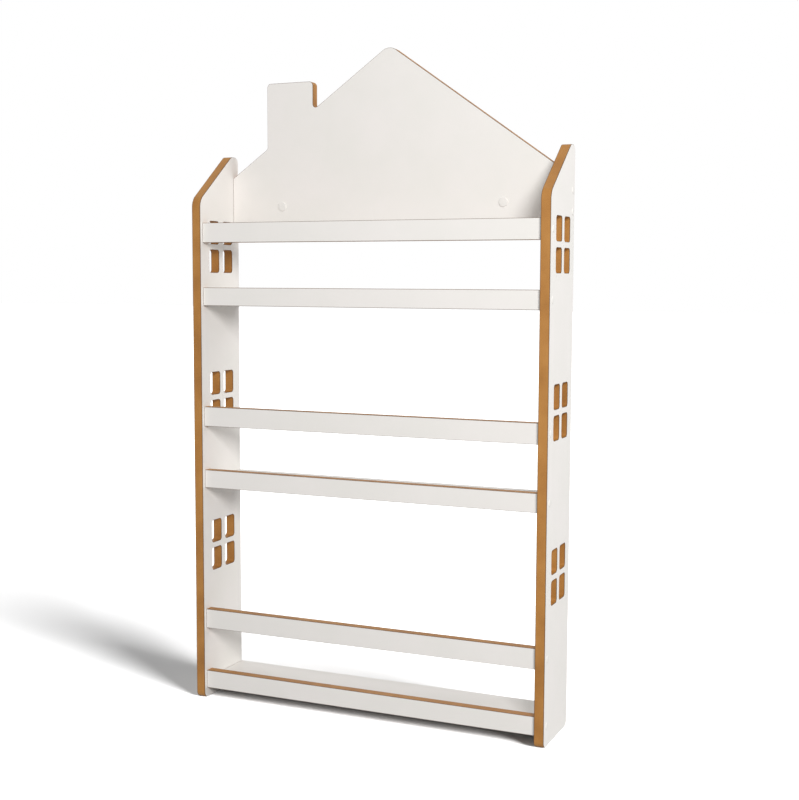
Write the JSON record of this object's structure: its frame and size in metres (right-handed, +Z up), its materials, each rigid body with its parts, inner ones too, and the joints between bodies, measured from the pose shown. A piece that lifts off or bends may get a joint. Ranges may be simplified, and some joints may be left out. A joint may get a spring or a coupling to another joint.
{
  "type": "house shaped bookcase",
  "caption": "Narrow open bookcase shaped like a house: window-cut side panels, railed shelves and a gable top panel with a chimney.",
  "frame": {"origin": "centre of the footprint on the floor, under the middle of the width and depth", "axes": "+Z up, -Y is the front where the books go in, +X to the right seen from the front; the chimney is on the -X side"},
  "size_m": [0.7016, 0.14, 1.2323],
  "materials": {
    "white_faced_mdf": "smooth white faces, clear-lacquered brown cut edges",
    "zinc_plated_screw": "zinc plated",
    "white_cap_plastic": "moulded, slight gloss",
    "beech_dowel": "bare turned beech"
  },
  "bodies": {
    "root": {"left_side_panel": "white_faced_mdf", "right_side_panel": "white_faced_mdf", "gable_back_panel": "white_faced_mdf", "bottom_shelf": "white_faced_mdf", "middle_shelf": "white_faced_mdf", "top_shelf": "white_faced_mdf", "bottom_shelf_rail": "white_faced_mdf", "middle_shelf_rail": "white_faced_mdf", "top_shelf_rail": "white_faced_mdf", "bottom_guard_rail": "white_faced_mdf", "middle_guard_rail": "white_faced_mdf", "top_guard_rail": "white_faced_mdf", "left_side_screws": "zinc_plated_screw", "right_side_screws": "zinc_plated_screw", "left_screw_caps": "white_cap_plastic", "right_screw_caps": "white_cap_plastic", "left_shelf_dowels": "beech_dowel", "right_shelf_dowels": "beech_dowel", "left_rail_dowels": "beech_dowel", "right_rail_dowels": "beech_dowel", "shelf_front_dowels": "beech_dowel", "wall_fixing_caps": "white_cap_plastic"}
  },
  "joints": []
}
